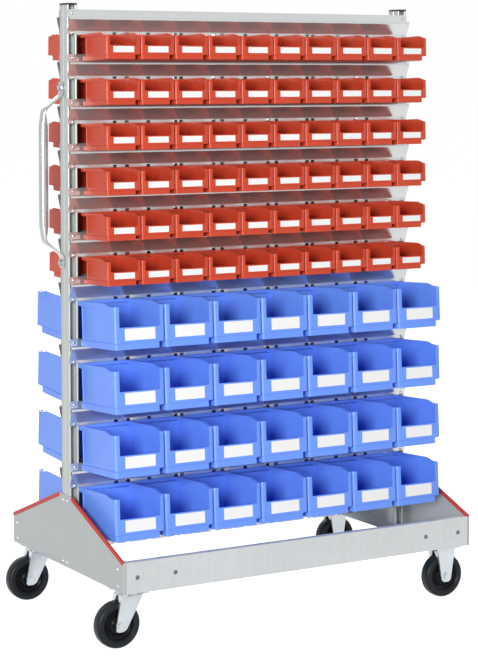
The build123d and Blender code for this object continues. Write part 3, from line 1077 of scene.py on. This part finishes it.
class RACK_OT_casters(bpy.types.Operator):
    """Build the swivel and the fixed casters with their wheels"""

    bl_idname = "rack.casters"
    bl_label = "Casters"
    tread = 18.0
    boss = 21.0
    bore = 6.05
    axle = 6.0
    axle_overlap = 1.0
    king_pin = 7.0
    cheek = 3.0
    cheek_gap = 22.0
    plate = 3.0
    race = 10.0
    race_radius = 35.0
    race_gap = 0.3
    trail = 36.0
    swivel_half = 32.0
    fixed_half = 29.0
    fixed_flare = 13.0
    flare_drop = 1.3
    foot_half = 15.0
    foot_drop = 17.0
    foot_round = 11.0
    flange = 2.0
    flange_overlap = 0.5
    # Place from the foot, 0, to the neck, 1, and the depth of the turned edge there.
    flange_depths = ((1.0, 18.0), (0.62, 3.0), (0.2, 0.8))
    edge_round = 0.6
    crown_round = 10.0
    crown_edge = 0.8
    plate_half = (42.5, 52.5)
    plate_round = 8.0
    bolt_spread = (30.0, 40.0)
    # Width and height of each head, and its washer.
    axle_bolt = (17.0, 6.0, 1.5)
    plate_bolt = (13.0, 6.5)
    king_nut = (22.0, 7.0)

    def execute(self, context):
        size = in_millimetres(context.scene.rack_sizes)
        tyre = as_mesh(self.tyre(size), "caster_tyre")
        hub = as_mesh(self.hub(size), "caster_hub")
        heads = bmesh.new()
        brackets = bmesh.new()
        for side, sign in (("front", -1), ("rear", 1)):
            for end in ("left", "right"):
                low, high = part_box(f"{side}_{end}_tyre")
                centre = (low + high) / 2 / MM
                body = f"{side}_{end}_wheel"
                for mesh, part, slot, material in (
                    (tyre, "tyre", "tyre_rubber", "black_tyre_rubber"),
                    (hub, "hub", "hub_plastic", "black_hub_plastic"),
                ):
                    bm = bmesh.new()
                    stamped(bm, mesh, Matrix.Translation(centre))
                    piece(bm, f"{body}_{part}", body, material, [f"{side}_{end}_{part}"], sharp=30)
                if end == "left":
                    pin = Vector((centre.x + self.trail, centre.y, 0))
                    fork = bmesh.new()
                    top = BASE_UNDERSIDE - self.plate - self.race - self.race_gap
                    self.fork(fork, pin, -self.trail, top, True)
                    node = f"{side}_swivel_fork"
                    piece(fork, f"{node}_sheet", f"{side}_swivel", "bright_zinc_plate", [node])
                    self.head(heads, pin)
                else:
                    pin = Vector((centre.x, centre.y, 0))
                    self.fork(brackets, pin, 0, BASE_UNDERSIDE - self.plate, False)
                    self.top_plate(brackets, pin)
        piece(heads, "swivel_head_plates", "rack", "bright_zinc_plate", ["swivel_heads"])
        piece(brackets, "fixed_fork_sheets", "rack", "bright_zinc_plate", ["fixed_forks"])
        return {"FINISHED"}

    def tyre(self, size):
        """Solid tyre with a crowned tread, round shoulders and a ridge on its side."""
        bm = bmesh.new()
        wheel = size.wheel / 2
        rim = size.rim / 2
        edge = self.tread
        half = [(rim, edge - 4), (rim + 1.5, edge - 2.2), (rim + 4, edge - 1.6)]
        half += [(rim + 5, edge - 0.4), (rim + 7, edge), (wheel - 6.5, edge - 0.2)]
        half += [(wheel - 3, edge - 2.2), (wheel - 1, edge - 5.5), (wheel - 0.2, edge - 10)]
        turned_ring(bm, half + [(wheel, 0)] + flipped(half, 1, -1), steps=56)
        return bm

    def hub(self, size):
        """Hub with a raised rim, a ring, a dished web and a boss round the bore."""
        bm = bmesh.new()
        rim = size.rim / 2
        half = [(self.bore, self.boss), (13.5, self.boss), (15, self.boss - 1.5), (16, 11), (19, 8.5)]
        half += [(24, 7.5), (27, 9.5), (28.5, 12.5), (31, 12.5), (32.5, 9), (35, 8.5), (38.5, 10.5)]
        half += [(40.5, 14.2), (rim, 14.2)]
        turned_ring(bm, half + flipped(half, 1, -1), steps=48)
        return bm

    def fork(self, bm, pin, trail, top, swivel):
        """Two cheeks with turned-out edges, their crown, and the axle bolt."""
        axle = Vector((pin.x + trail, pin.y, AXLE_HEIGHT))
        foot = self.foot_half
        low = axle.z - self.foot_drop
        wide = self.swivel_half if swivel else self.fixed_half
        flare = 0.0 if swivel else self.fixed_flare
        neck = top - flare * self.flare_drop
        outline = [(pin.x - wide, neck), (axle.x - foot, low), (axle.x + foot, low), (pin.x + wide, neck)]
        if flare:
            outline += [(pin.x + wide + flare, top), (pin.x - wide - flare, top)]
        for sign in (-1, 1):
            inside = pin.y + sign * self.cheek_gap
            outside = inside + sign * self.cheek
            soft_prism(bm, self.edge_round, outline, "Y", inside, outside, (1, 2), self.foot_round, 4)
            for lean in (1, -1):
                start = Vector((pin.x - lean * wide, 0, neck))
                end = Vector((axle.x - lean * foot, 0, low))
                edge = [(end.lerp(start, t), depth) for t, depth in self.flange_depths]
                for part in zip(edge, edge[1:]):
                    self.turned_edge(bm, part, inside, sign, lean)
            spot = upright_on((axle.x, outside, axle.z), (0, sign, 0))
            joined(bm, hex_bolt(*self.axle_bolt), spot)
        length = 2 * (self.cheek_gap + self.axle_overlap)
        cone(bm, self.axle, self.axle, length, upright_on(axle, (0, 1, 0)))
        if swivel:
            outer = self.cheek_gap + self.cheek
            crown = rectangle(pin.x - wide, pin.y - outer, pin.x + wide, pin.y + outer)
            soft_prism(bm, self.crown_edge, crown, "Z", top - self.cheek, top, range(4), self.crown_round)

    def turned_edge(self, bm, ends, inside, sign, lean):
        """Edge of a cheek, turned inwards, from one point and depth to another."""
        along = (ends[1][0] - ends[0][0]).normalized()
        inwards = Vector((-along.z, 0, along.x)) * self.flange * lean
        if inwards.x * lean < 0:
            inwards = -inwards
        verts = []
        for point, depth in ends:
            for shift in (Vector(), inwards):
                for y in (inside + sign * self.flange_overlap, inside - sign * depth):
                    verts.append(bm.verts.new((point.x + shift.x, y, point.z + shift.z)))
        made = bmesh.ops.convex_hull(bm, input=verts)
        bmesh.ops.recalc_face_normals(bm, faces=only(bmesh.types.BMFace, made["geom"]))

    def top_plate(self, bm, pin):
        """Top plate with rounded corners and its four bolts."""
        low = BASE_UNDERSIDE - self.plate
        x, y = self.plate_half
        square = rectangle(pin.x - x, pin.y - y, pin.x + x, pin.y + y)
        soft_prism(bm, self.edge_round, square, "Z", low, BASE_UNDERSIDE, range(4), self.plate_round)
        for x in (-1, 1):
            for y in (-1, 1):
                spot = (pin.x + x * self.bolt_spread[0], pin.y + y * self.bolt_spread[1])
                for z, up in ((low, -1), (POST_FOOT, 1)):
                    joined(bm, hex_bolt(*self.plate_bolt), upright_on((*spot, z), (0, 0, up)))

    def head(self, bm, pin):
        """Top plate, ball race, king pin and nut of a swivel caster."""
        self.top_plate(bm, pin)
        low = BASE_UNDERSIDE - self.plate
        inside = self.king_pin
        outside = self.race_radius
        profile = [(inside, 0), (outside - 2, 0), (outside, -2.5), (outside, -7)]
        profile += [(outside - 3, -self.race), (inside, -self.race)]
        place = Matrix.Translation((pin.x, pin.y, low)) @ Matrix.Rotation(pi / 2, 4, "X")
        turned_ring(bm, profile, steps=32, place=place)
        nut_top = low - self.race - 2 * self.race_gap - self.cheek
        middle = Matrix.Translation((pin.x, pin.y, (low + nut_top) / 2))
        cone(bm, self.king_pin, self.king_pin, low - nut_top, middle)
        joined(bm, hex_bolt(*self.king_nut), upright_on((pin.x, pin.y, nut_top), (0, 0, -1)))


class RACK_OT_fasteners(bpy.types.Operator):
    """Add the rail screws, the base bolts and the handle bolts"""

    bl_idname = "rack.fasteners"
    bl_label = "Fasteners"
    rail_screw_x = 538.0
    panel_bolts = (402.0, 514.0)
    panel_bolt_height = 197.0
    end_bolt_y = 319.0
    end_bolt_heights = (173.5, 217.5)
    post_bolt_y = 13.0
    post_bolt_heights = (171.5, 341.5)
    handle_bolt_inset = 14.5
    handle_bolt = (13.0, 7.0)
    screw_head = 2.6

    def execute(self, context):
        size = in_millimetres(context.scene.rack_sizes)
        face = POST_FACE - size.rail_sheet
        skirt = -size.rail_nose - size.rail_slope - size.rail_skirt / 2
        heights = [ledge + up for ledge in ledges(size) for up in (size.rail_strip / 2, skirt)]
        screws = [(x * self.rail_screw_x, face, z) for z in heights for x in (-1, 1)]
        mesh = as_mesh(dome_screw(size.screw, self.screw_head), "rail_screw")
        for side, turn in SIDES.items():
            self.heads(f"{side}_rail_screws", "zinc_screw_heads", mesh, screws, (0, -1, 0), [turn])
        both = SIDES.values()
        head = RACK_OT_base.bolt_head
        mesh = as_mesh(dome_screw(size.bolt, head), "base_bolt")
        front = PANEL_FACE + head
        bolts = [(end * x, front, self.panel_bolt_height) for x in self.panel_bolts for end in (-1, 1)]
        # The panel bolts take the darker zinc, which paints their dark reflections and shaded sockets.
        self.heads("panel_bolts", "dark_bolt_zinc", mesh, bolts, (0, -1, 0), both)
        columns = ((self.end_bolt_y, self.end_bolt_heights), (self.post_bolt_y, self.post_bolt_heights))
        bolts = [(BASE_END, end * y, z) for y, heights in columns for z in heights for end in (-1, 1)]
        self.heads("end_bolts", "zinc_screw_heads", mesh, bolts, (-1, 0, 0), both)
        mesh = as_mesh(hex_bolt(*self.handle_bolt), "handle_bolt")
        outside = POST_OUTSIDE - RACK_OT_handle.tab_thickness
        heights = (HANDLE_TOP - self.handle_bolt_inset, HANDLE_BOTTOM + self.handle_bolt_inset)
        bolts = [(outside, RACK_OT_handle.behind_middle, z) for z in heights]
        self.heads("handle_bolts", "zinc_screw_heads", mesh, bolts, (-1, 0, 0), [SIDES["front"]])
        return {"FINISHED"}

    def heads(self, name, material, mesh, points, normal, turns):
        """One piece of heads on a surface, on one side of the rack or on both."""
        bm = bmesh.new()
        for turn in turns:
            for point in points:
                stamped(bm, mesh, turn @ upright_on(point, normal))
        piece(bm, name, "rack", material)


class RACK_OT_stage(bpy.types.Operator):
    """Set the floor, the background, the lamps and the camera"""

    bl_idname = "rack.stage"
    bl_label = "Stage"
    ambient = 0.16
    floor_glow = 0.92
    floor_half = 30.0
    camera_place = (-2.8767, -4.9218, 1.4961)
    camera_pitch = 3.813
    camera_azimuth = -30.26
    camera_lens = 110.247
    camera_shift = -0.18
    camera_reach = 100.0
    # Place, height of the point that it is aimed at, width and power.
    lamps = {
        "key_lamp": ((-5.2, -5.5, 2.3), 1.0, 2.2, 555),
        "fill_lamp": ((6.0, -3.2, 2.8), 0.9, 2.6, 75),
        "rear_lamp": ((1.5, 4.6, 3.4), 0.9, 2.6, 200),
    }

    def execute(self, context):
        scene = context.scene
        scene.view_settings.view_transform = "Standard"
        self.background(scene)
        self.floor(scene)
        for name, settings in self.lamps.items():
            self.lamp(scene, name, *settings)
        data = bpy.data.cameras.new("photo_camera")
        data.lens = self.camera_lens
        data.shift_y = self.camera_shift
        data.clip_end = self.camera_reach
        camera = bpy.data.objects.new("photo_camera", data)
        camera.location = self.camera_place
        camera.rotation_euler = (radians(90 - self.camera_pitch), 0, radians(self.camera_azimuth))
        scene.collection.objects.link(camera)
        scene.camera = camera
        return {"FINISHED"}

    def seen(self, shade):
        """1 where the camera, a reflection or a clear piece looks, 0 for soft light."""
        rays = [
            shade.node("LightPath", {}, {}, f"Is {kind} Ray")
            for kind in ("Camera", "Glossy", "Transmission")
        ]
        return (rays[0] + rays[1] + rays[2]).clamped(0, 1)

    def background(self, scene):
        """White where it is seen, a plain soft level where it lights."""
        world = bpy.data.worlds.new("white_studio")
        world.use_nodes = True
        world.node_tree.nodes.clear()
        shade = Shade(world.node_tree)
        level = self.ambient + self.seen(shade) * (1 - self.ambient)
        light = shade.node("Background", {}, {"Color": (1, 1, 1, 1), "Strength": level})
        shade.node("OutputWorld", {}, {"Surface": light})
        scene.world = world

    def floor(self, scene):
        """Wide pale floor that takes the rack's soft shadow."""
        bm = bmesh.new()
        bmesh.ops.create_grid(bm, x_segments=1, y_segments=1, size=self.floor_half)
        mesh = as_mesh(bm, "studio_floor")
        place = blank_material("studio_floor")
        tone = (*scene.rack_colours.floor, 1)
        matt = place.node("BsdfDiffuse", {}, {"Color": tone})
        glow = place.node("Emission", {}, {"Color": (1, 1, 1, 1), "Strength": self.floor_glow})
        none = place.node("Emission", {}, {"Strength": 0.0})
        shown = place.node("MixShader", {}, {0: self.seen(place), 1: none, 2: glow})
        both = place.node("AddShader", {}, {0: matt, 1: shown})
        place.node("OutputMaterial", {}, {"Surface": both})
        mesh.materials.append(finish("studio_floor"))
        made = bpy.data.objects.new("studio_floor", mesh)
        scene.collection.objects.link(made)

    def lamp(self, scene, name, place, target, width, power):
        """A soft square lamp aimed at a height in the middle of the rack."""
        data = bpy.data.lights.new(name, "AREA")
        data.size = width
        data.energy = power
        lamp = bpy.data.objects.new(name, data)
        lamp.location = place
        aim = Vector((0, 0, target)) - Vector(place)
        lamp.rotation_euler = aim.to_track_quat("-Z", "Y").to_euler()
        scene.collection.objects.link(lamp)


OPERATORS = (
    RACK_OT_materials,
    RACK_OT_base,
    RACK_OT_posts,
    RACK_OT_rails,
    RACK_OT_handle,
    RACK_OT_bins,
    RACK_OT_casters,
    RACK_OT_fasteners,
    RACK_OT_stage,
)


class RACK_PT_sidebar(bpy.types.Panel):
    """Lists the steps that build the rack"""

    bl_idname = "RACK_PT_sidebar"
    bl_label = "Mobile bin rack"
    bl_space_type = "VIEW_3D"
    bl_region_type = "UI"
    bl_category = "Bin rack"

    def draw(self, context):
        for operator in OPERATORS:
            self.layout.operator(operator.bl_idname)


GROUPS = {
    "rack_sizes": RackSizes,
    "rack_colours": RackColours,
    "small_bin": SmallBin,
    "large_bin": LargeBin,
}
CLASSES = (*GROUPS.values(), *OPERATORS, RACK_PT_sidebar)


def register():
    for cls in CLASSES:
        bpy.utils.register_class(cls)
    for key, group in GROUPS.items():
        setattr(bpy.types.Scene, key, PointerProperty(type=group))


def unregister():
    for key in GROUPS:
        delattr(bpy.types.Scene, key)
    for cls in reversed(CLASSES):
        bpy.utils.unregister_class(cls)


def main():
    register()
    for operator in OPERATORS:
        family, step = operator.bl_idname.split(".")
        getattr(getattr(bpy.ops, family), step)()


if __name__ == "__main__":
    main()
